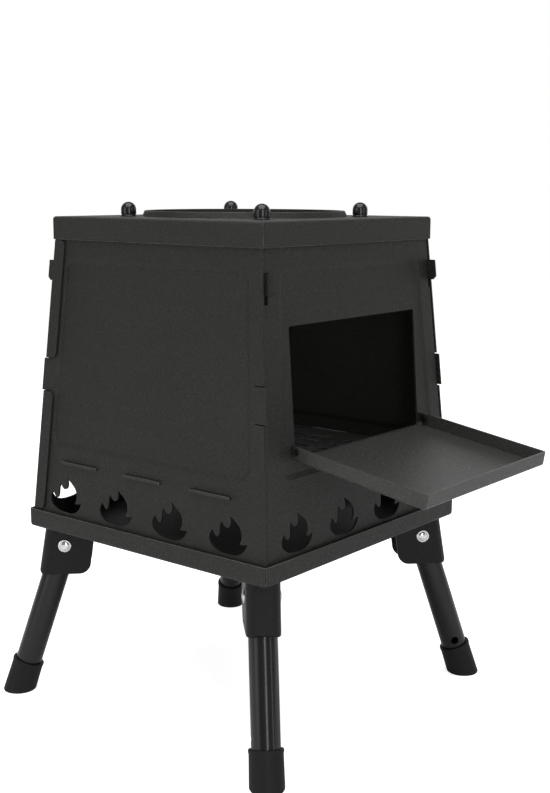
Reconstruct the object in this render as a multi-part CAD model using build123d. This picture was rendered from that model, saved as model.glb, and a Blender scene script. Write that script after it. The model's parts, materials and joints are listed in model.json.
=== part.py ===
from build123d import *
import math
import os

# Folding camping wood stove: a tapered box of hooked sheet panels on a square tray,
# four swinging tube legs, a drop-down door tray and a lift-off top plate.
# Millimetres. +Z is up, the door faces -Y, and "left" is -X. Sizes and levels are
# given from the middle of the tray's underside; the finished pieces are then moved
# down, so that the origin is the middle of the pot hole, level with the top plate.

# Driving sizes
sheet = 1.5                 # thickness of every steel sheet
fit_gap = 0.3               # clearance between pieces that sit in each other
pin_gap = 0.05              # radial clearance of a pin in its hole

base_side = 260.0           # tray, outside
base_lip = 15.6             # tray lip, from the underside
base_bend = 3.0             # outside radius of the tray's bends
base_height = 146.0         # tray underside above the ground

body_foot_half = 127.6      # half width of the panels' box on the tray floor
body_head_half = 108.6      # half width under the top plate
body_height = 257.0         # from the tray floor to the underside of the top plate
panel_bend = 2.5            # outside radius of a panel's folded edge

top_side = 223.4            # top plate, outside
top_skirt = 18.5            # skirt, from the plate's upper face
top_bend = 2.5
corner_slit = 0.6           # open seam at each folded corner

ring_radius = 82.7          # pot ring, outside at its rim
ring_foot_radius = 84.7     # pot ring, outside at the plate
ring_inner_radius = 80.5    # pot hole
ring_height = 4.8

stud_x = 64.0               # pot studs, from the centre
stud_y = 71.3
stud_radius = 6.3
stud_height = 11.8
screw_radius = 2.5          # shank of the stud screws
screw_depth = 7.0           # how far a screw goes into its stud
screw_head_radius = 4.5
screw_head_height = 3.0

recess_depth = 1.2          # pressed field of each panel
recess_wall = 4.0           # width of the slope round the field
recess_radius = 13.0
recess_low = 72.0           # lower edge of the fields above the tray underside
recess_high = 227.0
side_recess_inset = 12.5    # from the panel's slanted edge
front_recess_inset = 18.0

flame_pitch = 59.4
flame_count = 4
flame_low = 17.8            # lowest point of the cut-outs above the tray underside

front_flange_depth = 11.5   # folded edges of the front panel, inside the side panels
rear_flange_depth = 13.3    # folded edges of the rear panel, outside the side panels
rear_flange_corner = 5.0    # rounded ends of the outside edges
rear_flange_low = 17.0
rear_flange_high = 241.0
flange_break_low = 116.5    # break in the outside flanges
flange_break_high = 144.5

tongue_low = 116.5          # spring tongue at the front edge of a side panel
tongue_high = 144.0
tongue_reach = 2.2
tongue_room = 2.1           # notch for it in the rear panel
tongue_slit_length = 8.0
tongue_slit = 0.9

hook_low = 207.6            # hook tabs at the upper corners
hook_high = 224.2
hook_inset = 3.6            # tab's outer face behind the panel's outer face
hook_front_reach = 7.5      # how far a tab stands out of the panel that it passes
hook_rear_reach = 9.5
hook_chamfer = 3.0
hook_root = 18.0            # how far back along the panel a tab is fixed
hook_slot_low = 201.0
hook_slot_outer = 1.0       # the slot's edges behind the side panel's outer face
hook_slot_inner = 5.5
hook_slot_depth = 3.0

grate_level = 58.6          # grate underside above the tray underside
grate_thickness = 2.0
grate_tab_pitch = 71.3
grate_tab_length = 40.0
grate_tab_reach = 2.0
grate_slot_length = 26.0
grate_slot_width = 6.0
grate_slot_rows = 6
grate_slot_columns = 11
grate_slot_pitch_x = 18.0
grate_slot_pitch_y = 34.0
grate_corner = 17.0         # corner notch that clears the front panel's flanges

opening_half = 83.7         # fuel opening
opening_low = 86.9
opening_high = 184.0
opening_corner = 1.5

door_half = 88.4            # door tray, outside
door_length = 112.7         # from the hinge pin to the front flange
door_depth = 11.7           # flange height, from the underside
door_drop = 8.0             # hinge pin above the tray's underside
door_slope = 8.8            # degrees below level when open
door_back_reach = 1.7       # floor of the tray behind the hinge pin
door_bend = 2.2
hinge_level = 92.8          # hinge pin above the tray underside of the base
hinge_pin_radius = 1.5
hinge_head_radius = 2.6
hinge_head = 0.8

leg_splay = 18.1            # degrees outwards from upright
pivot_radius = 154.0        # leg pivot from the centre, along the diagonal
pivot_drop = 15.0           # leg pivot below the tray underside
tube_radius = 11.0
tube_wall = 1.5
tube_end_gap = 7.0          # tube end above the sole, inside the foot cap
tube_hole_radius = 3.4
tube_hole_place = 103.0     # from the pivot
pivot_rivet_radius = 3.0
pivot_head_radius = 5.4
pivot_head = 1.9

bracket_wall = 1.8
bracket_head_back = 25.5    # corner points of a cheek, behind and in front of the pivot
bracket_foot_back = 20.5
bracket_head_front = 15.7
bracket_foot_front = 22.2
bracket_drop = 40.0
bracket_foot_radius = 10.0
bracket_chamfer = 2.5
bracket_outer_radius = 8.5
bracket_rivet_radius = 2.0
bracket_rivet_head_radius = 4.0
bracket_rivet_head = 1.6
bracket_rivet_places = (-16.0, 7.0)     # from the pivot, along the diagonal

cap_length = 28.0
cap_radius = 12.9
cap_foot_radius = 13.3
cap_collar = 2.6
cap_collar_radius = 13.3

# Sizes that follow from the driving ones
floor_z = sheet
plate_z = floor_z + body_height
plate_top_z = plate_z + sheet
panel_top_z = plate_z - fit_gap
panel_low_z = floor_z + fit_gap
slope = (body_foot_half - body_head_half) / body_height
slant = math.sqrt(1.0 + slope * slope)
tube_inner_radius = tube_radius - tube_wall
cheek_inner = tube_radius + fit_gap
cheek_outer = cheek_inner + bracket_wall
pivot_z = -pivot_drop
bracket_head_in = pivot_radius - bracket_head_back
bracket_foot_in = pivot_radius - bracket_foot_back
bracket_head_out = pivot_radius + bracket_head_front
bracket_foot_out = pivot_radius + bracket_foot_front
leg_length = (base_height - pivot_drop) / math.cos(math.radians(leg_splay))
door_gap = door_depth - door_drop + fit_gap
diagonals = {"front_left": 225, "front_right": 315, "rear_right": 45, "rear_left": 135}


def half_at(z):
    """Half width of the panels' box at a height above the floor."""
    return body_foot_half - slope * (z - floor_z)


hinge_z = hinge_level
hinge_y = -(half_at(hinge_z) + door_gap)


def slab(x_low, x_high, y_low, y_high, z_low, z_high):
    """Box between two corners."""
    size = (x_high - x_low, y_high - y_low, z_high - z_low)
    middle = ((x_high + x_low) / 2, (y_high + y_low) / 2, (z_high + z_low) / 2)
    return Pos(*middle) * Box(*size)


def wall(turn, outer, inner, left, right, low, high):
    """Sheet parallel with one wall of the box, between two insets from its face.

    turn 0 is the front, 90 the right, 180 the rear and 270 the left wall. left and
    right are the insets of its two ends, as seen from outside.
    """
    sections = []
    for z in (low, high):
        half = half_at(z)
        corners = [
            (left - half, outer - half),
            (half - right, outer - half),
            (half - right, inner - half),
            (left - half, inner - half),
        ]
        sections.append(Pos(0, 0, z) * make_face(Polyline(*corners, close=True)))
    return Rot(0, 0, turn) * loft(sections)


def face_plane(turn):
    """Plane on a wall's outer face: x runs to the viewer's right, y up the slope.

    The origin is level with the tray's underside.
    """
    angle = math.radians(turn)
    out_x = math.sin(angle)
    out_y = -math.cos(angle)
    half = half_at(0)
    origin = (half * out_x, half * out_y, 0)
    return Plane(origin=origin, x_dir=(-out_y, out_x, 0), z_dir=(out_x, out_y, slope))


def flame_outline():
    """One flame cut-out: three tongues on the left, one curl on the right, round below."""
    tall = (2.0, 29.3)
    notch = (12.2, 9.4)
    curl = (19.6, 10.5)
    left = (-14.2, 16.3)
    second = (-5.2, 23.6)
    edges = [
        Spline(tall, (7.4, 25.6), (12.6, 20.8), (14.2, 15.6), notch),
        ThreePointArc(notch, (15.4, 9.3), curl),
        Spline(curl, (15.2, 3.2), (8.9, 0.4), (0.0, 0.0), (-9.8, 1.6), (-16.2, 6.2), left),
        Spline(left, (-12.4, 13.2), (-9.4, 11.3), (-7.6, 14.0), (-7.2, 19.2), second),
        Spline(second, (-2.9, 20.6), (-0.2, 19.5), (2.7, 21.6), (3.2, 25.0), tall),
    ]
    return make_face(edges)


def flame_row(turn):
    """Cutters for the row of flames along the foot of one panel."""
    motif = extrude(flame_outline(), amount=4 * sheet, both=True)
    row = []
    for index in range(flame_count):
        along = (index - (flame_count - 1) / 2) * flame_pitch
        row.append(face_plane(turn) * Pos(along, flame_low, 0) * motif)
    return row


def field_outline(inset, shrink):
    """Rounded field of a panel, its sides parallel with the panel's slanted edges."""
    corners = []
    for level, side in ((recess_low, -1), (recess_low, 1), (recess_high, 1), (recess_high, -1)):
        reach = half_at(level) - inset - shrink
        rise = shrink if level == recess_low else -shrink
        corners.append((side * reach, level * slant + rise))
    outline = make_face(Polyline(*corners, close=True))
    return fillet(outline.vertices(), recess_radius - shrink)


def pressed(panel, turn, inset):
    """Presses the field of a panel inwards, keeping the sheet's thickness."""
    plane = face_plane(turn)
    wide = field_outline(inset, 0)
    narrow = field_outline(inset, recess_wall)
    hollow = loft([plane * wide, plane * Pos(0, 0, -recess_depth) * narrow])
    levels = [(-sheet / 2, wide), (-sheet, wide), (-sheet - recess_depth, narrow)]
    pad = loft([plane * Pos(0, 0, depth) * outline for depth, outline in levels], ruled=True)
    return panel + pad - hollow


def hook_tabs():
    """The two tabs of the left panel, stepped inwards and passed through the corner slots."""
    inner = hook_inset + sheet
    tabs = wall(270, hook_inset, inner, -hook_rear_reach, -hook_front_reach, hook_low, hook_high)
    step = front_flange_depth + 2 * fit_gap
    tabs += wall(270, sheet / 2, inner, step, step, hook_low, hook_high)
    middle = wall(270, 0, 2 * inner, hook_root, hook_root, hook_low - sheet, hook_high + sheet)
    tabs -= middle
    x = -half_at(hook_low)
    size = hook_chamfer * math.sqrt(2)
    for end, reach in ((-1, hook_front_reach), (1, hook_rear_reach)):
        tip = end * (half_at(hook_low) + reach)
        tabs -= Pos(x, tip, hook_low) * Rot(45, 0, 0) * Box(8 * hook_inset, size, size)
    return tabs


def side_blank():
    """Left panel without its flames: flat sheet, spring tongues, hooks and grate slots."""
    edge = sheet + fit_gap
    panel = wall(270, 0, sheet, edge, 0, panel_low_z, panel_top_z)
    panel += wall(270, 0, sheet, -tongue_reach, -tongue_reach, tongue_low, tongue_high)
    panel = pressed(panel, 270, side_recess_inset)
    for z in (tongue_low, tongue_high):
        for end in (-1, 1):
            depth = 2 * tongue_slit_length
            middle = Pos(-half_at(z), end * half_at(z), z)
            panel -= middle * Box(6 * sheet, depth, tongue_slit)
    panel += hook_tabs()
    low = grate_level - fit_gap
    high = grate_level + grate_thickness + fit_gap
    x = half_at(low)
    for place in (-1, 0, 1):
        centre = place * grate_tab_pitch
        reach = grate_tab_length / 2 + fit_gap
        panel -= slab(-x - 3 * sheet, -x + 3 * sheet, centre - reach, centre + reach, low, high)
    return panel


def side_panel(side):
    """Left (-1) or right (1) panel."""
    panel = side_blank()
    if side > 0:
        panel = mirror(panel, about=Plane.YZ)
    for flame in flame_row(180 + 90 * -side):
        panel -= flame
    return panel


def hook_slots(turn):
    """Cutters for the two hook slots of the front (turn 0) or rear (180) panel."""
    high = hook_high + fit_gap
    cutters = []
    for side in (-1, 1):
        slot = wall(90 * side, hook_slot_outer, hook_slot_inner, -sheet, -sheet, hook_slot_low, high)
        keep = wall(turn, -sheet, hook_slot_depth, -sheet, -sheet, hook_slot_low, high)
        cutters.append(slot & keep)
    return cutters


def hinge_lug(side):
    """Ear beside the fuel opening that carries a door pin."""
    outer = door_half - sheet - fit_gap
    x_low, x_high = sorted((side * (outer - sheet), side * outer))
    radius = door_gap - fit_gap
    eye = Pos((x_low + x_high) / 2, hinge_y, hinge_z) * Rot(0, 90, 0) * Cylinder(radius, sheet)
    root_y = recess_depth + sheet / 2 - half_at(hinge_z)
    bar = slab(x_low, x_high, hinge_y, root_y, hinge_z - radius, hinge_z + radius)
    return eye + bar


def upright_bends(block):
    """The two long slanted edges of a block that stand furthest out."""
    uprights = [e for e in block.edges() if abs(e.center().X) > 1 and e.length > 8 * sheet]
    uprights = [e for e in uprights if abs(e.bounding_box().size.Z) > 0.9 * e.length]
    reach = max(abs(e.center().Y) for e in uprights)
    return [e for e in uprights if abs(e.center().Y) > reach - sheet / 2]


def front_panel():
    """Front panel: folded back inside the side panels, with the fuel opening."""
    edge = sheet + fit_gap
    panel = wall(0, 0, front_flange_depth, edge, edge, panel_low_z, panel_top_z)
    panel = fillet(upright_bends(panel), panel_bend)
    inner = edge + sheet
    panel -= wall(0, sheet, 2 * front_flange_depth, inner, inner, panel_low_z, panel_top_z)
    panel = pressed(panel, 0, front_recess_inset)
    face = -half_at(opening_low)
    opening = slab(
        -opening_half, opening_half, face - sheet, face + front_flange_depth, opening_low, opening_high
    )
    panel -= fillet(opening.edges().filter_by(Axis.Y), opening_corner)
    for side in (-1, 1):
        panel += hinge_lug(side)
        hole = Pos(side * door_half, hinge_y, hinge_z) * Rot(0, 90, 0)
        panel -= hole * Cylinder(hinge_pin_radius, 8 * sheet)
    for cutter in hook_slots(0) + flame_row(0):
        panel -= cutter
    return panel


def rear_strip(low, high):
    """One stretch of the rear panel's outside flanges, with the wall between them."""
    wrap = fit_gap + sheet
    strip = wall(180, 0, rear_flange_depth, -wrap, -wrap, low, high)
    strip = fillet(upright_bends(strip), panel_bend)
    strip -= wall(180, sheet, 2 * rear_flange_depth, -fit_gap, -fit_gap, low, high)
    corners = []
    for edge in strip.edges():
        centre = edge.center()
        at_free_edge = centre.Y < half_at(centre.Z) - rear_flange_depth + fit_gap
        if at_free_edge and edge.bounding_box().size.X > 0.9 * edge.length:
            corners.append(edge)
    return fillet(corners, rear_flange_corner)


def rear_panel():
    """Rear panel: its outside flanges wrap over the side panels' rear edges."""
    panel = wall(180, 0, sheet, 0, 0, panel_low_z, panel_top_z)
    panel += rear_strip(rear_flange_low, flange_break_low)
    panel += rear_strip(flange_break_high, rear_flange_high)
    panel = pressed(panel, 180, front_recess_inset)
    for turn in (90, 270):
        far = -4 * tongue_room
        panel -= wall(turn, far, tongue_room, far, far, flange_break_low, flange_break_high)
    for cutter in hook_slots(180) + flame_row(180):
        panel -= cutter
    return panel


def corner_slits(half, low, high):
    """Cutters for the open seams at the four folded corners."""
    cutters = []
    for turn in diagonals.values():
        place = Rot(0, 0, turn) * Pos(half * math.sqrt(2), 0, (low + high) / 2)
        cutters.append(place * Box(8 * sheet, corner_slit, high - low))
    return cutters


def base_tray():
    """Square tray with up-turned lips; the panels stand on its floor."""
    half = base_side / 2
    tray = slab(-half, half, -half, half, 0, base_lip)
    uprights = tray.edges().filter_by(Axis.Z)
    tray = fillet(uprights, base_bend)
    tray = fillet(tray.faces().sort_by(Axis.Z)[0].edges(), base_bend)
    inner = half - sheet
    hollow = slab(-inner, inner, -inner, inner, floor_z, 2 * base_lip)
    hollow = fillet(hollow.edges().filter_by(Axis.Z), base_bend - sheet)
    hollow = fillet(hollow.faces().sort_by(Axis.Z)[0].edges(), base_bend - sheet)
    tray -= hollow
    for cutter in corner_slits(half, base_bend, base_lip):
        tray -= cutter
    for cutter in bracket_rivet_holes():
        tray -= cutter
    return tray


def top_plate():
    """Top plate with a folded skirt, the pot hole with its raised ring, and stud holes."""
    half = top_side / 2
    plate = slab(-half, half, -half, half, plate_top_z - top_skirt, plate_top_z)
    plate = fillet(plate.edges().filter_by(Axis.Z), top_bend)
    plate = fillet(plate.faces().sort_by(Axis.Z)[-1].edges(), top_bend)
    inner = half - sheet
    hollow = slab(-inner, inner, -inner, inner, plate_z - 2 * top_skirt, plate_z)
    hollow = fillet(hollow.edges().filter_by(Axis.Z), top_bend - sheet)
    hollow = fillet(hollow.faces().sort_by(Axis.Z)[-1].edges(), top_bend - sheet)
    plate -= hollow
    for cutter in corner_slits(half, plate_top_z - top_skirt, plate_top_z - top_bend):
        plate -= cutter
    profile = Polyline(
        (ring_inner_radius, 0),
        (ring_foot_radius, 0),
        (ring_foot_radius, sheet),
        (ring_radius, sheet + ring_height),
        (ring_inner_radius, sheet + ring_height),
        close=True,
    )
    section = Plane(origin=(0, 0, plate_z), x_dir=(1, 0, 0), z_dir=(0, -1, 0))
    plate += revolve(section * make_face(profile), Axis.Z)
    plate -= Pos(0, 0, plate_z) * Cylinder(ring_inner_radius, 4 * ring_height)
    for x, y in stud_places():
        plate -= Pos(x, y, plate_z) * Cylinder(screw_radius + pin_gap, 4 * sheet)
    return plate


def stud_places():
    """Centres of the four pot studs."""
    return [(x, y) for x in (-stud_x, stud_x) for y in (-stud_y, stud_y)]


def pot_stud():
    """Domed stud, standing on z = 0, with a blind hole for its screw."""
    shoulder = stud_height - stud_radius
    hole_radius = screw_radius + pin_gap
    hole_depth = screw_depth + fit_gap
    lean = stud_radius * math.sqrt(0.5)
    top = (0, stud_height)
    side = (stud_radius, shoulder)
    dome = ThreePointArc(side, (lean, shoulder + lean), top)
    rest = Polyline(
        top, (0, hole_depth), (hole_radius, hole_depth), (hole_radius, 0), (stud_radius, 0), side
    )
    return revolve(Plane.XZ * make_face([dome, rest]), Axis.Z)


def stud_screw():
    """Screw of a pot stud: head under the plate, shank up into the stud."""
    shank_length = sheet + screw_depth
    shank = Pos(0, 0, shank_length / 2 - sheet) * Cylinder(screw_radius, shank_length)
    head = Pos(0, 0, -sheet - screw_head_height / 2) * Cylinder(screw_head_radius, screw_head_height)
    head = fillet(head.edges().sort_by(Axis.Z)[0], screw_head_height / 3)
    return shank + head


def fire_grate():
    """Slotted plate over the ash space; its tabs sit in the side panels' slots."""
    level = grate_level
    middle = level + grate_thickness / 2
    wall = half_at(level)
    reach_x = wall - sheet - 2 * fit_gap
    reach_y = wall - sheet - 2 * fit_gap
    grate = Pos(0, 0, middle) * Box(2 * reach_x, 2 * reach_y, grate_thickness)
    for side in (-1, 1):
        corner = Pos(side * reach_x, -reach_y, middle)
        grate -= corner * Box(12 * sheet, 2 * grate_corner, 2 * grate_thickness)
        for place in (-1, 0, 1):
            tab = Pos(side * (wall + grate_tab_reach) / 2, place * grate_tab_pitch, middle)
            grate += tab * Box(wall + grate_tab_reach, grate_tab_length, grate_thickness)
    row_mid = (grate_slot_rows - 1) / 2
    column_mid = (grate_slot_columns - 1) / 2
    slot = SlotOverall(grate_slot_length, grate_slot_width, rotation=90)
    cutter = extrude(slot, amount=2 * grate_thickness, both=True)
    for row in range(grate_slot_rows):
        for column in range(grate_slot_columns):
            x = (column - column_mid) * grate_slot_pitch_x
            y = (row - row_mid) * grate_slot_pitch_y
            grate -= Pos(x, y, middle) * cutter
    return grate


def door_tray():
    """Drop-down door: a flat tray with flanges on three sides, hinged at its rear ears."""
    low = -door_drop
    high = door_depth - door_drop
    tray = slab(-door_half, door_half, -door_length, door_back_reach, low, high)
    tray = fillet(tray.edges().filter_by(Axis.Z).group_by(Axis.Y)[0], door_bend)
    lower = tray.faces().sort_by(Axis.Z)[0].edges()
    lower = [e for e in lower if e.center().Y < door_back_reach - 0.1]
    tray = fillet(lower, door_bend)
    inner = door_half - sheet
    hollow = slab(-inner, inner, -door_length + sheet, 4 * door_depth, low + sheet, 4 * door_depth)
    front_corners = hollow.edges().filter_by(Axis.Z).group_by(Axis.Y)[0]
    tray -= fillet(front_corners, door_bend - sheet)
    for side in (-1, 1):
        middle = side * (door_half - sheet / 2)
        ear = Pos(middle, 0, 0) * Rot(0, 90, 0) * Cylinder(high, sheet)
        heel = make_face(Polyline((door_back_reach, low + sheet), (high, 0), (-high, 0), close=True))
        x_dir = Plane(origin=(middle, 0, 0), x_dir=(0, 1, 0), z_dir=(1, 0, 0))
        trim = slab(middle - sheet, middle + sheet, 0, 4 * high, 0, 2 * high)
        tray = tray - trim + ear + extrude(x_dir * heel, amount=sheet / 2, both=True)
        bore = Pos(middle, 0, 0) * Rot(0, 90, 0)
        tray -= bore * Cylinder(hinge_pin_radius + pin_gap, 3 * sheet)
    return Pos(0, hinge_y, hinge_z) * Rot(door_slope, 0, 0) * tray


def door_pins():
    """Two riveted hinge pins through the lugs and the door's ears."""
    pins = []
    for side in (-1, 1):
        inner = door_half - 2 * sheet - fit_gap
        outer = door_half + fit_gap / 2
        shaft = outer - inner
        parts = [
            (hinge_pin_radius, (inner + outer) / 2, shaft),
            (hinge_head_radius, outer + hinge_head / 2, hinge_head),
            (hinge_head_radius, inner - hinge_head / 2, hinge_head),
        ]
        pin = None
        for radius, middle, length in parts:
            place = Pos(side * middle, hinge_y, hinge_z) * Rot(0, 90, 0)
            piece = place * Cylinder(radius, length)
            pin = piece if pin is None else pin + piece
        pins.append(pin)
    return pins


def bracket_rivet_holes():
    """Cutters for the rivets that hold the brackets under the tray."""
    holes = []
    for turn in diagonals.values():
        for place in bracket_rivet_places:
            middle = Rot(0, 0, turn) * Pos(pivot_radius + place, 0, 0)
            holes.append(middle * Cylinder(bracket_rivet_radius, 6 * sheet))
    return holes


def bracket_rivets():
    """Rivets of the leg brackets: round head on the tray floor, set flush below."""
    rivets = []
    for turn in diagonals.values():
        for place in bracket_rivet_places:
            length = sheet + bracket_wall
            x = pivot_radius + place
            shank = Pos(x, 0, floor_z - length / 2) * Cylinder(bracket_rivet_radius, length)
            head = Pos(x, 0, floor_z + bracket_rivet_head / 2)
            head = head * Cylinder(bracket_rivet_head_radius, bracket_rivet_head)
            head = fillet(head.edges().sort_by(Axis.Z)[-1], bracket_rivet_head * 0.8)
            rivets.append(Rot(0, 0, turn) * (shank + head))
    return rivets


def leg_bracket():
    """U-shaped bracket on the +X diagonal: round outer wall, two cheeks and a top web."""
    outline = Polyline(
        (bracket_head_in, 0),
        (bracket_head_out, 0),
        (bracket_foot_out, -bracket_drop),
        (bracket_foot_in, -bracket_drop),
        close=True,
    )
    cheek = make_face(outline)
    foot = cheek.vertices().group_by(Axis.Y)[0].sort_by(Axis.X)
    cheek = fillet(foot[0], bracket_foot_radius)
    foot = cheek.vertices().group_by(Axis.Y)[0].sort_by(Axis.X)
    cheek = chamfer(foot[-1], bracket_chamfer)
    upright = Plane(origin=(0, 0, 0), x_dir=(1, 0, 0), z_dir=(0, -1, 0))
    block = extrude(upright * cheek, amount=cheek_outer, both=True)
    lean = (bracket_foot_out - bracket_head_out) / bracket_drop
    outer_edges = []
    for edge in block.edges():
        centre = edge.center()
        straight_out = centre.X > bracket_head_out + 1 and abs(abs(centre.Y) - cheek_outer) < 0.01
        if straight_out and edge.length > bracket_drop / 2:
            outer_edges.append(edge)
    block = fillet(outer_edges, bracket_outer_radius)
    pocket = make_face(
        Polyline(
            (bracket_head_in - bracket_drop, -bracket_wall),
            (bracket_head_out - bracket_wall + lean * bracket_wall, -bracket_wall),
            (bracket_foot_out - bracket_wall + lean * bracket_drop, -2 * bracket_drop),
            (bracket_head_in - bracket_drop, -2 * bracket_drop),
            close=True,
        )
    )
    hollow = extrude(upright * pocket, amount=cheek_inner, both=True)
    inner_edges = []
    for edge in hollow.edges():
        centre = edge.center()
        on_cheek = abs(abs(centre.Y) - cheek_inner) < 0.01
        if on_cheek and centre.X > bracket_head_out and edge.length > bracket_drop:
            inner_edges.append(edge)
    hollow = fillet(inner_edges, bracket_outer_radius - bracket_wall)
    bracket = block - hollow
    bore = Pos(pivot_radius, 0, pivot_z) * Rot(90, 0, 0) * Cylinder(pivot_rivet_radius, 4 * cheek_outer)
    bracket -= bore
    for place in bracket_rivet_places:
        bracket -= Pos(pivot_radius + place, 0, 0) * Cylinder(bracket_rivet_radius, 6 * sheet)
    return bracket


def pivot_rivet():
    """Rivet on the +X diagonal that a leg turns on, with a domed head on each cheek."""
    rivet = Cylinder(pivot_rivet_radius, 2 * cheek_outer)
    for side in (-1, 1):
        head = Cylinder(pivot_head_radius, pivot_head)
        rim = head.edges().sort_by(Axis.Z)[-1]
        head = fillet(rim, pivot_head * 0.85)
        turn = 0 if side > 0 else 180
        rivet += Rot(turn, 0, 0) * Pos(0, 0, cheek_outer + pivot_head / 2) * head
    return Pos(pivot_radius, 0, pivot_z) * Rot(90, 0, 0) * rivet


def leg_place():
    """Frame of a leg on the +X diagonal: z runs up the tube from the pivot."""
    return Pos(pivot_radius, 0, pivot_z) * Rot(0, -leg_splay, 0)


def leg_tube():
    """Leg tube on the +X diagonal, its upper end rounded about the pivot."""
    length = leg_length - tube_end_gap
    reach = base_height
    tube = Pos(0, 0, -length / 2) * Cylinder(tube_radius, length)
    crown = Rot(90, 0, 0) * Cylinder(tube_radius + fit_gap, reach)
    upper = Pos(0, 0, tube_radius) * Cylinder(tube_radius, 2 * tube_radius)
    tube += upper & crown
    tube -= Pos(0, 0, tube_radius - length / 2 - sheet) * Cylinder(tube_inner_radius, length + 2 * tube_radius)
    tube -= Rot(90, 0, 0) * Cylinder(pivot_rivet_radius + pin_gap, reach)
    side_hole = Pos(0, -tube_radius, -tube_hole_place) * Rot(90, 0, 0)
    tube -= side_hole * Cylinder(tube_hole_radius, tube_radius)
    return leg_place() * tube


def foot_cap():
    """Rubber cap on the leg's end, its sole cut level with the floor."""
    top = -(leg_length - cap_length)
    bottom = -(leg_length + cap_foot_radius)
    collar_foot = top - cap_collar
    profile = Polyline(
        (tube_radius + pin_gap, top),
        (cap_collar_radius, top),
        (cap_collar_radius, collar_foot + 0.4),
        (cap_radius, collar_foot),
        (cap_foot_radius, bottom),
        (0, bottom),
        (0, -(leg_length - tube_end_gap)),
        (tube_radius + pin_gap, -(leg_length - tube_end_gap)),
        close=True,
    )
    cap = leg_place() * revolve(Plane.XZ * make_face(profile), Axis.Z)
    reach = 2 * pivot_radius
    return cap & slab(-reach, reach, -reach, reach, -base_height, 0)


def build_parts():
    """Every piece of the stove by the name of its node."""
    parts = {
        "base_tray": base_tray(),
        "left_panel": side_panel(-1),
        "right_panel": side_panel(1),
        "front_panel": front_panel(),
        "rear_panel": rear_panel(),
        "top_plate": top_plate(),
        "fire_grate": fire_grate(),
        "door_tray": door_tray(),
        "door_hinge_pins": Compound(children=door_pins()),
        "bracket_rivets": Compound(children=bracket_rivets()),
    }
    for group, piece in (("pot_studs", pot_stud()), ("stud_screws", stud_screw())):
        copies = [Pos(x, y, plate_top_z) * piece for x, y in stud_places()]
        parts[group] = Compound(children=copies)
    pieces = {
        "leg_bracket": leg_bracket(),
        "leg_rivet": pivot_rivet(),
        "leg_tube": leg_tube(),
        "foot_cap": foot_cap(),
    }
    for corner, turn in diagonals.items():
        for name, piece in pieces.items():
            parts[f"{name}_{corner}"] = Rot(0, 0, turn) * piece
    return parts


os.makedirs("parts", exist_ok=True)
to_origin = Pos(0, 0, -plate_top_z)
for node, shape in build_parts().items():
    export_step(to_origin * shape, f"parts/{node}.step")
    print(node, round(shape.volume), "mm3")
print("hinge at", round(hinge_y, 3), round(hinge_z, 3), "leg pivot at", pivot_radius, pivot_z)
print("leg length", round(leg_length, 2), "plate top", plate_top_z, "slope", round(slope, 5))
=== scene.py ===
# %% [markdown]
# The stove's solid model is the frame of this scene: every sheet, tube and rivet comes
# in at its true place and size, in metres. Loading it first means that each new piece
# can be measured against the part that it belongs to.

# %% Load the frame
import json
import math

import bmesh
import bpy
import numpy as np
from mathutils import Matrix, Vector

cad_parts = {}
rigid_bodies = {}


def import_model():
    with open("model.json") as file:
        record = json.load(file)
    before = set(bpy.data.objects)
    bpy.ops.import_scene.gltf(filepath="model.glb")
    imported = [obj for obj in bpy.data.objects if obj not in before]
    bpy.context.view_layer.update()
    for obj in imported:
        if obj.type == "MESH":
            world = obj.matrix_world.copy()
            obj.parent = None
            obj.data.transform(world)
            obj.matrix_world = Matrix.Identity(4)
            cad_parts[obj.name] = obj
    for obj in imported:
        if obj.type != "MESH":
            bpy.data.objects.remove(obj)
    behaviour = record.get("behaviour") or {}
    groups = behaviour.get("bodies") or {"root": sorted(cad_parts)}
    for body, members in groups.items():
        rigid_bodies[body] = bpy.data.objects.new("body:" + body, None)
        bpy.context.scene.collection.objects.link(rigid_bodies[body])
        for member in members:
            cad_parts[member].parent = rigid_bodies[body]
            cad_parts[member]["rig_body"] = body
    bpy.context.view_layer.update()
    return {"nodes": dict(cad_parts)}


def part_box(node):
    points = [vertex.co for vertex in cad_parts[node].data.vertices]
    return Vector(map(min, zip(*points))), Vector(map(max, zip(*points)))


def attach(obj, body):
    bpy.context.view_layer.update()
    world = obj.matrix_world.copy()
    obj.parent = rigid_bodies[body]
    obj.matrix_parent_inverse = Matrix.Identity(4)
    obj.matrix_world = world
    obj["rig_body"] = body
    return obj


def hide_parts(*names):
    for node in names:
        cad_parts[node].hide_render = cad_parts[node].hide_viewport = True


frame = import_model()
nodes = frame["nodes"]
corners = ("front_left", "front_right", "rear_right", "rear_left")

# %% [markdown]
# The camera stands where the photographer stood. Its place and turn were worked out
# from the stove's straight edges, so they are plain numbers here: where the eye is, which
# way it looks, and how long the lens is on a 36 mm high sensor.

# %% Camera at the photograph's angle
TRAY_UNDERSIDE = -0.260
STAND = 0.146
FLOOR = TRAY_UNDERSIDE - STAND
EYE = (-0.76045, -0.64820, TRAY_UNDERSIDE + 0.28327)
LOOK_AZIMUTH = math.radians(-51.014)
LOOK_ELEVATION = math.radians(9.924)
LOOK_ROLL = math.radians(0.188)
SENSOR_HEIGHT = 36.0
LENS = 54.12


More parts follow.
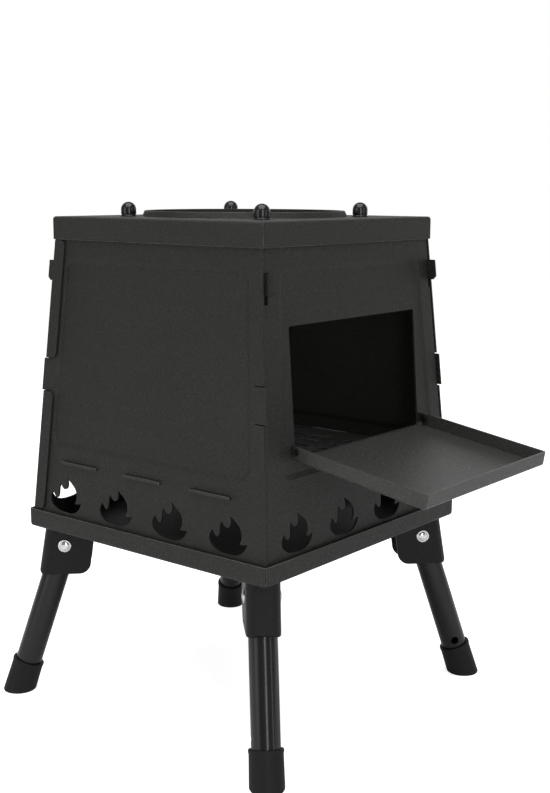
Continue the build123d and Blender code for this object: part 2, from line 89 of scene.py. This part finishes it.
def place_camera():
    """Columns of the camera's turn are its right, up and backward directions."""
    back = np.array([
        math.sin(LOOK_AZIMUTH) * math.cos(LOOK_ELEVATION),
        -math.cos(LOOK_AZIMUTH) * math.cos(LOOK_ELEVATION),
        math.sin(LOOK_ELEVATION),
    ])
    right = np.array([math.cos(LOOK_AZIMUTH), math.sin(LOOK_AZIMUTH), 0.0])
    up = np.cross(back, right)
    cosine, sine = math.cos(LOOK_ROLL), math.sin(LOOK_ROLL)
    turned_right = cosine * right + sine * up
    turned_up = cosine * up - sine * right
    matrix = np.eye(4)
    matrix[:3, 0] = turned_right
    matrix[:3, 1] = turned_up
    matrix[:3, 2] = back
    matrix[:3, 3] = EYE
    data = bpy.data.cameras.new("photo_camera")
    data.sensor_fit = "VERTICAL"
    data.sensor_height = SENSOR_HEIGHT
    data.lens = LENS
    data.clip_start = 0.01
    camera = bpy.data.objects.new("photo_camera", data)
    bpy.context.scene.collection.objects.link(camera)
    camera.matrix_world = Matrix(matrix.tolist())
    bpy.context.scene.camera = camera
    return camera


camera = place_camera()
print("camera at", [round(v, 3) for v in camera.matrix_world.translation])

# %% [markdown]
# Shader sums read best as plain arithmetic. This small class wraps one output of a node,
# and adding or multiplying two of them adds the Math node that does it. `make` adds any
# other node: its settings first, then the values or links of its inputs.

# %% Shader arithmetic
class Wire:
    """One output socket, with + - * / and abs that add Math nodes."""

    def __init__(self, finish, socket):
        self.finish = finish
        self.socket = socket

    def math(self, operation, *values, clamp=False):
        return self.finish.make(
            "ShaderNodeMath", {"operation": operation, "use_clamp": clamp}, dict(enumerate(values))
        )

    def __add__(self, other):
        return self.math("ADD", self, other)

    def __radd__(self, other):
        return self.math("ADD", other, self)

    def __sub__(self, other):
        return self.math("SUBTRACT", self, other)

    def __rsub__(self, other):
        return self.math("SUBTRACT", other, self)

    def __mul__(self, other):
        return self.math("MULTIPLY", self, other)

    def __rmul__(self, other):
        return self.math("MULTIPLY", other, self)

    def __truediv__(self, other):
        return self.math("DIVIDE", self, other)

    def __abs__(self):
        return self.math("ABSOLUTE", self)

    def clamped(self):
        return self.math("ADD", self, 0.0, clamp=True)

    def band(self, low, high):
        """0 below low, 1 above high, straight between."""
        return ((self - low) / (high - low)).clamped()


class Finish:
    """A material under construction."""

    def __init__(self, name):
        self.material = bpy.data.materials.new(name)
        self.material.use_nodes = True
        self.tree = self.material.node_tree
        self.surface = self.tree.nodes["Principled BSDF"]
        self.place = self.make("ShaderNodeTexCoord", {}, {}, output="Object")

    def make(self, kind, settings, values, output=0):
        node = self.tree.nodes.new(kind)
        for name, value in settings.items():
            setattr(node, name, value)
        for key, value in values.items():
            self.feed(node.inputs[key], value)
        return Wire(self, node.outputs[output])

    def feed(self, socket, value):
        if isinstance(value, Wire):
            self.tree.links.new(value.socket, socket)
        else:
            socket.default_value = value

    def noise(self, scale, detail=2.0, rough=0.5, stretch=(1.0, 1.0, 1.0)):
        place = self.make("ShaderNodeMapping", {}, {"Vector": self.place, "Scale": stretch})
        return self.make(
            "ShaderNodeTexNoise", {}, {"Vector": place, "Scale": scale, "Detail": detail, "Roughness": rough}
        )

    def mix(self, factor, first, second):
        """Colour that goes from first to second as factor goes from 0 to 1."""
        return self.make(
            "ShaderNodeMix", {"data_type": "RGBA"}, {0: factor, 6: opaque(first), 7: opaque(second)}, output=2
        )

    def set(self, **values):
        for name, value in values.items():
            self.feed(self.surface.inputs[name.replace("_", " ")], value)
        return self

    def bump(self, height, strength, distance):
        normal = self.make(
            "ShaderNodeBump", {}, {"Strength": strength, "Distance": distance, "Height": height}
        )
        self.feed(self.surface.inputs["Normal"], normal)
        return self


def opaque(colour):
    """A colour as red, green, blue, alpha; wires pass through."""
    return colour if isinstance(colour, Wire) else (*colour, 1.0)


print("shader helpers ready")

# %% [markdown]
# The body is black heat-proof powder coat. Sprayed powder melts into fine bumps, so the
# sheet looks grainy close up: a cell pattern under a millimetre wide gives the bumps and
# makes some grains catch more light. A wide soft noise keeps large panels from looking
# flat, and darkens and lightens them by a few percent as a real coat does.

# %% Powder coat
GRAIN = 850.0
CLOUD = 9.0


def powder_coat(name, colour, lift, roughness=0.55, shine=0.36):
    """Grainy black coat: colour in the hollows, colour times lift on the grains."""
    coat = Finish(name)
    grain = coat.noise(GRAIN, detail=3.0, rough=0.6)
    cloud = coat.noise(CLOUD, detail=4.0)
    speck = grain.band(0.46, 0.72)
    shade = (speck * 0.8 + cloud * 0.4).clamped()
    bright = tuple(channel * lift for channel in colour)
    coat.set(
        Base_Color=coat.mix(shade, colour, bright),
        Roughness=roughness - 0.12 * speck + 0.12 * (cloud - 0.5),
    )
    coat.set(Specular_IOR_Level=shine)
    return coat.bump(grain, 1.0, 0.0006).material


body_coat = powder_coat("body_powder_coat", (0.0062, 0.0062, 0.0054), 4.5)
skirt_coat = powder_coat("skirt_powder_coat", (0.0080, 0.0080, 0.0072), 4.0)
# The door tray is the body's black coat with its base colour lifted about three times: painted light that
# makes the tray floor read lighter.
tray_coat_painted_lighter = powder_coat("tray_powder_coat_painted_light", (0.0210, 0.0210, 0.0200), 3.4, 0.36, 0.45)
bracket_coat = powder_coat("bracket_powder_coat", (0.0040, 0.0040, 0.0037), 2.2, 0.38, 0.22)
print("powder coats:", [m.name for m in (body_coat, skirt_coat, tray_coat_painted_lighter, bracket_coat)])

# %% [markdown]
# Powder draws back from a sharp edge while it melts, so the rim of every sheet is thinly coated and rubbed.
# The rounded edges get a finish of their own that paints a fine lighter line on that rim: a painted
# highlight, with rubbed patches of wear in it. It has the same grain, paler and smoother.

# %% Worn edges with a painted highlight
def edge_highlight_and_wear(name, colour, worn_highlight):
    """Painted highlight coat of an edge, with wear: rubbed patches go from the pale colour to the paler
    second one.
    """
    coat = Finish(name)
    grain = coat.noise(GRAIN, detail=3.0, rough=0.6)
    rubbed = coat.noise(120.0, detail=4.0, rough=0.65).band(0.35, 0.7)
    coat.set(Base_Color=coat.mix(rubbed, colour, worn_highlight), Roughness=0.34 + 0.12 * grain)
    return coat.bump(grain, 0.2, 0.0003).material


# The edge coat is a painted highlight: a pale colour, about twenty times the body coat's, laid on the rounded
# edges as a line of light, with rubbed wear in it.
sheet_edge_highlight = edge_highlight_and_wear("sheet_edge_painted_highlight", (0.13, 0.13, 0.125), (0.34, 0.34, 0.33))
print("edge finish:", sheet_edge_highlight.name)

# %% [markdown]
# The leg tubes are drawn steel under a smooth semi-gloss paint. Light runs along them in
# long streaks, so the paint is smoother than the powder coat and its faint unevenness is
# stretched along the tube.

# %% Leg paint
def leg_paint():
    paint = Finish("leg_semi_gloss_paint")
    long_grain = paint.noise(220.0, detail=3.0, stretch=(1.0, 1.0, 0.06))
    dust = paint.noise(1600.0, detail=2.0)
    paint.set(
        Base_Color=paint.mix(dust.band(0.5, 0.75), (0.0050, 0.0050, 0.0046), (0.013, 0.013, 0.012)),
        Roughness=0.26 + 0.10 * long_grain,
    )
    paint.set(Coat_Weight=0.55, Coat_Roughness=0.18, Specular_IOR_Level=0.12)
    return paint.bump(dust * 0.5 + long_grain, 0.12, 0.0003).material


tube_paint = leg_paint()
print("leg paint:", tube_paint.name)

# %% [markdown]
# The foot caps are moulded rubber, darker and duller than any paint here, with a fine
# pebble from the mould and scuffs near the ground, where dust stays in it.

# %% Foot rubber
def foot_rubber():
    rubber = Finish("foot_rubber")
    pebble = rubber.noise(1100.0, detail=2.0)
    scuff = rubber.noise(60.0, detail=5.0, rough=0.7)
    height = rubber.make("ShaderNodeSeparateXYZ", {}, {"Vector": rubber.place}, output=2)
    low = 1.0 - height.band(FLOOR, FLOOR + 0.010)
    dusty = (low * scuff.band(0.45, 0.7)).clamped()
    rubber.set(
        Base_Color=rubber.mix(dusty, (0.0030, 0.0030, 0.0028), (0.014, 0.0135, 0.0125)),
        Roughness=0.50 + 0.2 * pebble + 0.15 * dusty,
    )
    rubber.set(Specular_IOR_Level=0.3)
    return rubber.bump(pebble, 0.25, 0.0003).material


cap_rubber = foot_rubber()
print("rubber:", cap_rubber.name)

# %% [markdown]
# Rivets and screws are bright plated steel, with hair-fine scratches. The pot studs are
# gloss black. The grate is coated like the body but has been through a few fires: warm
# and cold tints in patches, and pale ash that stays inside the box, off its end tabs.

# %% Metals
def plated_steel():
    plate = Finish("plated_steel")
    hair = plate.noise(2500.0, detail=3.0, stretch=(1.0, 1.0, 0.2))
    patch = plate.noise(300.0, detail=3.0)
    plate.set(
        Base_Color=plate.mix(patch, (0.62, 0.62, 0.63), (0.82, 0.82, 0.81)),
        Roughness=0.06 + 0.12 * hair,
        Metallic=1.0,
    )
    return plate.bump(hair, 0.1, 0.0001).material


def gloss_black():
    gloss = Finish("stud_gloss_black")
    haze = gloss.noise(500.0, detail=3.0)
    gloss.set(
        Base_Color=gloss.mix(haze, (0.006, 0.006, 0.006), (0.012, 0.012, 0.012)),
        Roughness=0.10 + 0.12 * haze,
    )
    return gloss.bump(haze, 0.05, 0.0002).material


def fired_coat():
    coat = Finish("grate_fired_coat")
    patch = coat.noise(28.0, detail=4.0, rough=0.6)
    grain = coat.noise(GRAIN, detail=3.0, rough=0.6)
    tint = coat.mix(patch.band(0.35, 0.65), (0.016, 0.014, 0.012), (0.011, 0.012, 0.014))
    across = coat.make("ShaderNodeSeparateXYZ", {}, {"Vector": coat.place}, output=0)
    inside = 1.0 - abs(across).band(0.095, 0.118)
    ash = coat.noise(90.0, detail=6.0, rough=0.7).band(0.5, 0.8) * inside
    coat.set(
        Base_Color=coat.mix(ash * 0.6, tint, (0.10, 0.097, 0.09)),
        Roughness=0.45 + 0.15 * grain + 0.2 * ash,
    )
    return coat.bump(grain + ash, 0.3, 0.0004).material


bright_steel = plated_steel()
stud_black = gloss_black()
grate_coat = fired_coat()
print("metals:", [m.name for m in (bright_steel, stud_black, grate_coat)])

# %% [markdown]
# A cut sheet edge is never razor sharp: it has a tiny round that shows as a thin line
# of light. The solid model's sheets have square edges, so each one is copied, its loose
# triangles are joined into flat faces, and a Bevel modifier rounds every edge a little.
# The rims of a pressed field get a wider round first, as a press leaves them.

# %% Ease the edges of the sheets
FLAT_ANGLE = math.radians(1.0)
EDGE_ANGLE = math.radians(28.0)
PRESS_LOW = math.radians(12.0)
MERGE = 1e-6
SHEET_EDGE = 0.00045
PRESS_SOFT = 0.0009


def stand_for(piece, node):
    """piece takes the place of a solid node: its body and its look."""
    bpy.context.scene.collection.objects.link(piece)
    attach(piece, nodes[node]["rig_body"])
    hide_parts(node)
    return piece


def wall_normal(shape):
    """Direction that most of the sheet's area faces."""
    widest = max(shape.faces, key=lambda face: face.calc_area())
    return widest.normal.copy()


def press_rims(shape):
    """Edges where the pressed field's slope meets the flat sheet."""
    across = wall_normal(shape)
    flat, sloped = set(), set()
    for face in shape.faces:
        angle = min(face.normal.angle(across), face.normal.angle(-across))
        if angle < FLAT_ANGLE * 2:
            flat.add(face)
        elif PRESS_LOW < angle < EDGE_ANGLE:
            sloped.add(face)
    rims = []
    for edge in shape.edges:
        sides = edge.link_faces
        if len(sides) == 2 and any(f in flat for f in sides) and any(f in sloped for f in sides):
            rims.append(edge)
    return rims


def eased(node, material, edge_material=None, pressed=False, width=SHEET_EDGE):
    """Copy of a node's mesh with its edges rounded to width, and pressed fields softened."""
    mesh = nodes[node].data.copy()
    mesh.name = node + "_eased"
    shape = bmesh.new()
    shape.from_mesh(mesh)
    bmesh.ops.remove_doubles(shape, verts=shape.verts, dist=MERGE)
    bmesh.ops.dissolve_limit(
        shape, angle_limit=FLAT_ANGLE, verts=shape.verts, edges=shape.edges, delimit={"NORMAL"}
    )
    for face in shape.faces:
        face.smooth = True
        face.material_index = 0
    for edge in shape.edges:
        edge.smooth = len(edge.link_faces) == 2 and edge.calc_face_angle(0.0) < EDGE_ANGLE
    weight = shape.edges.layers.float.new("bevel_weight_edge")
    rims = press_rims(shape) if pressed else []
    for edge in rims:
        edge[weight] = 1.0
    shape.to_mesh(mesh)
    shape.free()
    piece = bpy.data.objects.new(node + "_eased", mesh)
    mesh.materials.clear()
    mesh.materials.append(material)
    mesh.materials.append(edge_material or material)
    if rims:
        soften = piece.modifiers.new("soft_press", "BEVEL")
        soften.width = PRESS_SOFT
        soften.segments = 3
        soften.limit_method = "WEIGHT"
    bevel = piece.modifiers.new("eased_edges", "BEVEL")
    bevel.width = width
    bevel.segments = 2
    bevel.limit_method = "ANGLE"
    bevel.angle_limit = EDGE_ANGLE
    # The rounds take material 1, which for the coated sheets is the painted edge highlight.
    bevel.material = 1
    weighted = piece.modifiers.new("flat_faces_stay_flat", "WEIGHTED_NORMAL")
    weighted.keep_sharp = False
    weighted.weight = 90
    return stand_for(piece, node)


sheets = [
    eased("base_tray", skirt_coat, sheet_edge_highlight),
    eased("left_panel", body_coat, sheet_edge_highlight, pressed=True),
    eased("right_panel", body_coat, sheet_edge_highlight, pressed=True),
    eased("front_panel", body_coat, sheet_edge_highlight, pressed=True),
    eased("rear_panel", body_coat, sheet_edge_highlight, pressed=True),
    eased("top_plate", skirt_coat, sheet_edge_highlight),
    eased("door_tray", tray_coat_painted_lighter, sheet_edge_highlight),
    eased("fire_grate", grate_coat, sheet_edge_highlight),
    eased("door_hinge_pins", bracket_coat),
    eased("bracket_rivets", bright_steel),
    eased("stud_screws", bright_steel),
]
for corner in corners:
    sheets.append(eased("leg_bracket_" + corner, bracket_coat))
    sheets.append(eased("leg_tube_" + corner, tube_paint))
print("eased pieces:", len(sheets), "faces:", sum(len(s.data.polygons) for s in sheets))

# %% [markdown]
# Round hardware is turned on a lathe, so here it is a profile carried round an axis. The
# profile is a short list of radius and height, and the whole grid of points comes from
# one numpy expression: radius times (cos, sin) of the angle, with the height beside it.
# Both ends of each profile lie on the axis, so the surface closes.

# %% Turned surfaces
AROUND = 64


def ring_points(profile):
    """Points (radius cos a, radius sin a, height) for each profile point and angle a."""
    profile = np.asarray(profile, float)
    angle = np.linspace(0.0, 2.0 * math.pi, AROUND, endpoint=False)
    radius, height = profile[:, :1], profile[:, 1:]
    return np.stack(
        [radius * np.cos(angle), radius * np.sin(angle), height + 0.0 * angle], axis=-1
    )


def grid_faces(rows):
    """Quads between neighbouring rings, with the rings closed round."""
    row = np.arange(rows - 1)[:, None] * AROUND
    here = np.arange(AROUND)[None, :]
    after = (here + 1) % AROUND
    return np.stack(
        [row + here, row + after, row + AROUND + after, row + AROUND + here], axis=-1
    ).reshape(-1, 4)


def surface(name, grids, material):
    """One mesh from several closed grids of points, each (rings, AROUND, 3)."""
    points, faces, start = [], [], 0
    for grid in grids:
        points.append(grid.reshape(-1, 3))
        faces.append(grid_faces(len(grid)) + start)
        start += grid.shape[0] * AROUND
    mesh = bpy.data.meshes.new(name)
    mesh.from_pydata(np.concatenate(points).tolist(), [], np.concatenate(faces).tolist())
    shape = bmesh.new()
    shape.from_mesh(mesh)
    bmesh.ops.remove_doubles(shape, verts=shape.verts, dist=MERGE)
    bmesh.ops.recalc_face_normals(shape, faces=shape.faces)
    for face in shape.faces:
        face.smooth = True
    for edge in shape.edges:
        edge.smooth = len(edge.link_faces) == 2 and edge.calc_face_angle(0.0) < EDGE_ANGLE
    shape.to_mesh(mesh)
    shape.free()
    mesh.materials.append(material)
    return bpy.data.objects.new(name, mesh)


def arc(centre, radius, start, end, steps):
    """Profile points on an arc: centre plus radius times (cos, sin), angles in degrees."""
    angle = np.radians(np.linspace(start, end, steps))
    return [(centre[0] + radius * math.cos(a), centre[1] + radius * math.sin(a)) for a in angle]


print("points round each turned piece:", AROUND)

# %% [markdown]
# A pot stud is a bullet: a short shank and a dome of the same radius. The dome carries
# the highlights, so it has many rings. Just above its foot runs a shallow groove, which
# keeps a dark line round the stud where it is pulled down on the plate.

# %% Pot studs
STUD_X, STUD_Y = 0.0640, 0.0713
STUD_RADIUS = 0.0063
STUD_HEIGHT = 0.0118
STUD_NECK = 0.0060
STUD_FOOT = 0.0007
STUD_GROOVE_LOW, STUD_GROOVE_HIGH = 0.0011, 0.0016
STUD_SHANK = 0.0020
DOME_STEPS = 14


def pot_studs():
    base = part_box("pot_studs")[0][2]
    shoulder = STUD_HEIGHT - STUD_RADIUS
    profile = [(0.0, 0.0)]
    profile += [(STUD_RADIUS, 0.0), (STUD_RADIUS, STUD_FOOT)]
    profile += [(STUD_NECK, STUD_GROOVE_LOW), (STUD_NECK, STUD_GROOVE_HIGH)]
    profile += [(STUD_RADIUS, STUD_SHANK)]
    profile += arc((0.0, shoulder), STUD_RADIUS, 0.0, 90.0, DOME_STEPS)
    stud = ring_points(profile)
    places = [(x, y, base) for x in (-STUD_X, STUD_X) for y in (-STUD_Y, STUD_Y)]
    piece = surface("pot_studs_turned", [stud + np.array(place) for place in places], stud_black)
    return stand_for(piece, "pot_studs")


studs = pot_studs()
print("studs:", len(studs.data.polygons), "faces")

# %% [markdown]
# A leg and what is on it share one frame: a point on the pivot rivet, and an axis that
# leans outwards along the tray's diagonal. `leg_frame` gives that frame's directions for
# a corner, and `placed` carries points from it to the stove's own frame.

# %% The legs' frame
PIVOT_RADIUS = 0.1540
PIVOT_DROP = 0.0150
SPLAY = math.radians(18.1)
LEG_LENGTH = (STAND - PIVOT_DROP) / math.cos(SPLAY)
DIAGONALS = {"front_left": 225.0, "front_right": 315.0, "rear_right": 45.0, "rear_left": 135.0}


def leg_frame(corner, splay):
    """Pivot point, then directions: side to side, inwards and up the leg."""
    turn = math.radians(DIAGONALS[corner])
    out = np.array([math.cos(turn), math.sin(turn), 0.0])
    side = np.array([-math.sin(turn), math.cos(turn), 0.0])
    rise = np.array([0.0, 0.0, 1.0])
    pivot = PIVOT_RADIUS * out + np.array([0.0, 0.0, TRAY_UNDERSIDE - PIVOT_DROP])
    up_leg = math.cos(splay) * rise - math.sin(splay) * out
    outward = math.cos(splay) * out + math.sin(splay) * rise
    return pivot, side, outward, up_leg


def placed(grid, origin, first, second, third):
    """Points of a grid carried to origin along three directions."""
    return origin + grid[..., :1] * first + grid[..., 1:2] * second + grid[..., 2:] * third


print("leg length:", round(LEG_LENGTH, 5))

# %% [markdown]
# Each leg turns on a bright rivet. Its head is a dome with a flat rim that the rivet set
# leaves, and a shallow ring where the dome begins. Both heads and the shank between them
# are one profile along the pivot axis.

# %% Pivot rivets
CHEEK = 0.0131
RIVET_HEAD = 0.0054
RIVET_SHANK = 0.0030
RIM_SIDE, RIM_TOP = 0.0005, 0.0008
RIM_ROUND = 0.0004
DOME_RADIUS = 0.0040
DOME_FOOT = 0.0006
DOME_RISE = 0.0013
DOME_START = 0.12


def rivet_profile():
    """Half profile mirrored; the dome is radius * cos(t), foot + rise * sin(t)."""
    rim = [(RIVET_SHANK, 0.0), (RIVET_HEAD, 0.0), (RIVET_HEAD, RIM_SIDE)]
    rim += [(RIVET_HEAD - RIM_ROUND, RIM_TOP)]
    ring = [(DOME_RADIUS + RIM_ROUND / 2, RIM_TOP), (DOME_RADIUS, DOME_FOOT)]
    dome = [
        (DOME_RADIUS * math.cos(t), DOME_FOOT + DOME_RISE * math.sin(t))
        for t in np.linspace(DOME_START, math.pi / 2, 9)
    ]
    upper = [(radius, CHEEK + height) for radius, height in rim + ring + dome]
    lower = [(radius, -height) for radius, height in reversed(upper)]
    return lower + upper


rivets = []
for corner in corners:
    pivot, side, outward, up_leg = leg_frame(corner, SPLAY)
    grid = placed(ring_points(rivet_profile()), pivot, outward, up_leg, side)
    rivet = surface("leg_rivet_" + corner + "_domed", [grid], bright_steel)
    rivets.append(stand_for(rivet, "leg_rivet_" + corner))
print("rivets:", [r.name for r in rivets])

# %% [markdown]
# A foot cap is a rubber cup pushed over the tube. Its axis leans with the leg, but its
# sole is level, so each line down its wall ends at a different length: where it meets the
# ground. A wall point is at share t of the way from the collar to that ending, and the
# ending for angle a is the leg's length plus radius * cos(a) * tan(splay).

# %% Foot caps
CAP_TOP = 0.0280
CAP_COLLAR = 0.0026
TUBE_RADIUS = 0.0110
CUP_FLOOR = 0.0070
CUP_GAP = 0.00005
COLLAR_RADIUS = 0.0133
COLLAR_ROUND = 0.0003
WALL_RADIUS = 0.0129
WALL_FLARE = 0.0004
LIP_RADIUS = 0.0127
LIP_SHARE = 0.965
SOLE_FLAT = 0.0100
ROUND_STEP = 0.0004
WALL_STEPS = 12


def foot_cap(corner):
    """Inner cup and collar as rings, then a wall that ends on the slanted sole."""
    angle = np.linspace(0.0, 2.0 * math.pi, AROUND, endpoint=False)
    top = -(LEG_LENGTH - CAP_TOP)
    cup_floor = -(LEG_LENGTH - CUP_FLOOR)
    inner = TUBE_RADIUS + CUP_GAP
    rim = COLLAR_RADIUS - COLLAR_ROUND
    upper = [(0.0, cup_floor), (inner, cup_floor), (inner, top - ROUND_STEP)]
    upper += [(inner + COLLAR_ROUND, top), (rim, top), (COLLAR_RADIUS, top - COLLAR_ROUND)]
    upper += [(COLLAR_RADIUS, top - CAP_COLLAR + ROUND_STEP), (rim, top - CAP_COLLAR)]
    rings = [ring_points(upper)]
    share = np.linspace(0.0, 1.0, WALL_STEPS)[1:, None]
    radius = WALL_RADIUS + WALL_FLARE * share
    radius[-1] = LIP_RADIUS
    share[-2] = LIP_SHARE
    length = LEG_LENGTH + radius * np.cos(angle) * math.tan(SPLAY)
    start = -top + CAP_COLLAR
    depth = start + share * (length - start)
    wall = np.stack([radius * np.cos(angle), radius * np.sin(angle), -depth], axis=-1)
    sole_radius = np.array([[SOLE_FLAT], [0.0]])
    sole_depth = LEG_LENGTH + sole_radius * np.cos(angle) * math.tan(SPLAY)
    sole = np.stack(
        [sole_radius * np.cos(angle), sole_radius * np.sin(angle), -sole_depth], axis=-1
    )
    pivot, side, outward, up_leg = leg_frame(corner, SPLAY)
    grid = np.concatenate(rings + [wall, sole])
    grid = placed(grid, pivot, outward, side, up_leg)
    cap = surface("foot_cap_" + corner + "_moulded", [grid], cap_rubber)
    return stand_for(cap, "foot_cap_" + corner)


caps = [foot_cap(corner) for corner in corners]
print("caps, lowest point:", round(min(v.co.z for c in caps for v in c.data.vertices), 5))

# %% [markdown]
# A studio product shot: white paper under the stove, and white all round. Black metal
# shows little but what it mirrors, so each light has a task. The large one above fills,
# the tall ones draw streaks down the tubes, the rear one brightens the door tray's floor,
# and the world is bright only to the camera, so that the panels stay dark.

# %% Floor, lights and background
FLOOR_SIZE = 60.0
WORLD_SEEN = 1.0
WORLD_AROUND = 0.27
PAPER_GLOW = 0.75


def paper_floor():
    half = FLOOR_SIZE / 2
    points = [(-half, -half, FLOOR), (half, -half, FLOOR), (half, half, FLOOR), (-half, half, FLOOR)]
    mesh = bpy.data.meshes.new("paper_floor")
    mesh.from_pydata(points, [], [(0, 1, 2, 3)])
    floor = bpy.data.objects.new("paper_floor", mesh)
    bpy.context.scene.collection.objects.link(floor)
    paper = Finish("white_paper")
    fibre = paper.noise(400.0, detail=3.0)
    paper.set(Base_Color=paper.mix(fibre, (0.93, 0.93, 0.93), (0.97, 0.97, 0.97)), Roughness=0.9)
    paper.set(Specular_IOR_Level=0.0)
    seen = paper.make("ShaderNodeLightPath", {}, {}, output="Is Camera Ray")
    paper.set(Emission_Color=(1.0, 1.0, 1.0, 1.0), Emission_Strength=seen * PAPER_GLOW)
    mesh.materials.append(paper.material)
    return floor


def soft_light(name, place, target, size, power):
    """Square area light that faces its target."""
    data = bpy.data.lights.new(name, "AREA")
    data.shape = "RECTANGLE"
    data.size, data.size_y = size
    data.energy = power
    light = bpy.data.objects.new(name, data)
    bpy.context.scene.collection.objects.link(light)
    light.location = place
    light.visible_camera = False
    aim = Vector(target) - Vector(place)
    light.rotation_euler = aim.to_track_quat("-Z", "Y").to_euler()
    return light


def studio_world(seen, around):
    """White to the camera, and a softer grey as a source of light."""
    world = bpy.data.worlds.new("studio")
    world.use_nodes = True
    tree = world.node_tree
    background = tree.nodes["Background"]
    ray = tree.nodes.new("ShaderNodeLightPath")
    mix = tree.nodes.new("ShaderNodeMix")
    mix.data_type = "RGBA"
    mix.inputs[6].default_value = (around, around, around, 1.0)
    mix.inputs[7].default_value = (seen, seen, seen, 1.0)
    tree.links.new(ray.outputs["Is Camera Ray"], mix.inputs[0])
    tree.links.new(mix.outputs[2], background.inputs["Color"])
    bpy.context.scene.world = world


floor = paper_floor()
TARGET = (0.0, 0.0, TRAY_UNDERSIDE + 0.10)
lights = [
    soft_light("top_softbox", (-0.3, -0.2, FLOOR + 1.65), TARGET, (1.6, 1.6), 22.0),
    soft_light("left_strip", (-1.7, 0.5, FLOOR + 0.35), TARGET, (0.90, 1.8), 6.5),
    soft_light("front_strip", (0.2, -1.9, FLOOR + 0.35), TARGET, (0.20, 1.8), 3.0),
    soft_light("camera_side_strip", (-1.17, -1.50, FLOOR + 0.50), TARGET, (0.30, 1.6), 8.0),
    soft_light("rear_softbox", (1.50, 1.30, FLOOR + 0.75), TARGET, (2.6, 1.0), 6.0),
    soft_light("right_softbox", (1.8, -0.6, FLOOR + 0.55), TARGET, (1.0, 1.4), 1.8),
]
studio_world(WORLD_SEEN, WORLD_AROUND)
bpy.context.scene.view_settings.view_transform = "Standard"
print("lights:", [light.name for light in lights])
